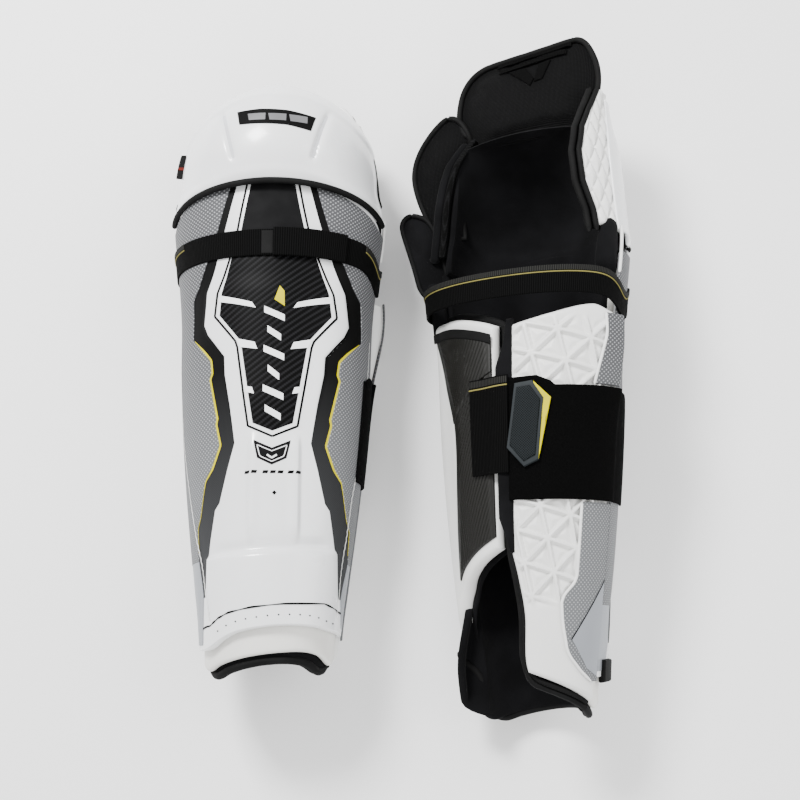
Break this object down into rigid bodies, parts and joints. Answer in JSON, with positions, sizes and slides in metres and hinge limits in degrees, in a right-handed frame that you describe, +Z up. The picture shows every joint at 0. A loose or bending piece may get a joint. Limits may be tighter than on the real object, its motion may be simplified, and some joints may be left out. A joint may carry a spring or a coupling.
{
  "type": "ice hockey shin guards",
  "caption": "Pair of ice hockey shin guards: white knee caps and shin shells, grey side panels, padded calf wraps, straps and thigh flaps, laid side by side.",
  "frame": {"origin": "centre of the pair's footprint, on the floor that both guards lie on", "axes": "+Z up from the floor, +Y up the legs from the ankle rims to the knee caps, +X from the right-leg guard to the left-leg guard"},
  "size_m": [0.4392, 0.6365, 0.1736],
  "materials": {
    "black_lining": "brushed black lining over thin foam",
    "black_plastic": "satin black ribbed plastic",
    "black_rubber": "black bound edge",
    "black_webbing": "woven black elastic and webbing",
    "grey_mesh": "grey dotted weave bonded to the shell",
    "grey_rubber": "dark grey dotted rubber",
    "label_fabric": "small woven tag",
    "white_foam": "white moulded closed-cell foam",
    "white_shell": "glossy moulded white plastic"
  },
  "bodies": {
    "right_shin": {"right_shin_shell": "white_shell", "right_shell_face": "white_shell", "right_medial_side_panel": "grey_mesh", "right_lateral_side_panel": "grey_mesh", "right_shin_foam": "white_foam", "right_shin_liner": "black_lining", "right_medial_ear": "black_lining", "right_lateral_ear": "black_lining", "right_knee_strap": "black_webbing", "right_strap_anchor": "black_webbing"},
    "right_medial_wrap": {"right_medial_pad": "white_foam", "right_medial_pad_lining": "black_lining", "right_strap_receiver": "black_webbing"},
    "right_lateral_wrap": {"right_lateral_wing": "white_foam", "right_lateral_wing_lining": "black_lining", "right_upper_calf_plate": "black_plastic", "right_lower_calf_plate": "black_plastic", "right_calf_strap": "black_webbing"},
    "right_pull": {"right_strap_end_patch": "black_webbing", "right_pull_tab": "grey_rubber"},
    "right_web_end": {"right_knee_strap_tab": "black_webbing"},
    "right_knee": {"right_knee_cap": "white_shell", "right_knee_cap_binding": "black_rubber", "right_knee_cap_foam": "white_foam", "right_knee_liner": "black_lining", "right_knee_sling_pad": "black_lining", "right_medial_knee_pad": "white_foam", "right_lateral_knee_pad": "white_foam", "right_side_label": "label_fabric"},
    "right_flap": {"right_thigh_flap": "black_lining"},
    "left_shin": {"left_shin_shell": "white_shell", "left_shell_face": "white_shell", "left_medial_side_panel": "grey_mesh", "left_lateral_side_panel": "grey_mesh", "left_shin_foam": "white_foam", "left_shin_liner": "black_lining", "left_medial_ear": "black_lining", "left_lateral_ear": "black_lining", "left_knee_strap": "black_webbing", "left_strap_anchor": "black_webbing", "left_ankle_trim": "black_rubber"},
    "left_medial_wrap": {"left_medial_pad": "white_foam", "left_medial_pad_lining": "black_lining", "left_strap_receiver": "black_webbing"},
    "left_lateral_wrap": {"left_lateral_wing": "white_foam", "left_lateral_wing_lining": "black_lining", "left_upper_calf_plate": "black_plastic", "left_lower_calf_plate": "black_plastic", "left_calf_strap": "black_webbing"},
    "left_pull": {"left_strap_end_patch": "black_webbing", "left_pull_tab": "grey_rubber"},
    "left_web_end": {"left_knee_strap_tab": "black_webbing"},
    "left_knee": {"left_knee_cap": "white_shell", "left_knee_cap_binding": "black_rubber", "left_knee_cap_foam": "white_foam", "left_knee_liner": "black_lining", "left_knee_sling_pad": "black_lining", "left_medial_knee_pad": "white_foam", "left_lateral_knee_pad": "white_foam"},
    "left_flap": {"left_thigh_flap": "black_lining"}
  },
  "joints": [
    {"name": "right_lateral_wrap_hinge", "type": "hinge", "parent": "right_shin", "child": "right_lateral_wrap", "pos_m": [-0.17679, -0.2429, 0.06656], "axis": [-0.0909, 0.9959, -0.004], "range_deg": [0, 40]},
    {"name": "right_medial_wrap_hinge", "type": "hinge", "parent": "right_shin", "child": "right_medial_wrap", "pos_m": [-0.04975, -0.2429, 0.06656], "axis": [-0.0909, -0.9959, 0.004], "range_deg": [0, 40]},
    {"name": "right_pull_hinge", "type": "hinge", "parent": "right_lateral_wrap", "child": "right_pull", "pos_m": [-0.09894, -0.0879, 0.00656], "axis": [0.0112, 0.9998, -0.0173], "range_deg": [0, 10]},
    {"name": "right_web_end_hinge", "type": "hinge", "parent": "right_shin", "child": "right_web_end", "pos_m": [-0.04671, 0.0971, 0.1312], "axis": [0, 1, 0], "range_deg": [0, 30]},
    {"name": "right_knee_hinge", "type": "hinge", "parent": "right_shin", "child": "right_knee", "pos_m": [-0.11327, 0.1271, 0.05352], "axis": [-1, 0, 0], "range_deg": [0, 25]},
    {"name": "right_flap_hinge", "type": "hinge", "parent": "right_knee", "child": "right_flap", "pos_m": [-0.11327, 0.2631, 0.06852], "axis": [-1, 0, 0], "range_deg": [-140, 0]},
    {"name": "left_lateral_wrap_hinge", "type": "hinge", "parent": "left_shin", "child": "left_lateral_wrap", "pos_m": [0.0637, -0.27611, 0.03858], "axis": [0.0799, -0.9965, -0.0262], "range_deg": [0, 40]},
    {"name": "left_medial_wrap_hinge", "type": "hinge", "parent": "left_shin", "child": "left_medial_wrap", "pos_m": [0.17259, -0.28068, 0.10386], "axis": [0.0758, 0.9899, 0.1196], "range_deg": [0, 40]},
    {"name": "left_pull_hinge", "type": "hinge", "parent": "left_lateral_wrap", "child": "left_pull", "pos_m": [0.09953, -0.12788, 0.1407], "axis": [-0.0007, -0.9959, -0.0903], "range_deg": [0, 55]},
    {"name": "left_web_end_hinge", "type": "hinge", "parent": "left_shin", "child": "left_web_end", "pos_m": [0.20849, 0.06225, 0.07386], "axis": [0, -0.9976, -0.0698], "range_deg": [0, 10]},
    {"name": "left_knee_hinge", "type": "hinge", "parent": "left_shin", "child": "left_knee", "pos_m": [0.11143, 0.08992, 0.10818], "axis": [0.8572, -0.0359, 0.5138], "range_deg": [0, 25]},
    {"name": "left_flap_hinge", "type": "hinge", "parent": "left_knee", "child": "left_flap", "pos_m": [0.11916, 0.22649, 0.10484], "axis": [0.8572, -0.0359, 0.5138], "range_deg": [0, 140]},
    {"name": "left_guard_lift", "type": "slide", "parent": "right_shin", "child": "left_shin", "axis": [0, 0, 1], "range_m": [0, 0.25]}
  ],
  "couplings": [
    {"joint": "right_medial_wrap_hinge", "follows": "right_lateral_wrap_hinge", "ratio": 1},
    {"joint": "left_medial_wrap_hinge", "follows": "left_lateral_wrap_hinge", "ratio": 1}
  ]
}
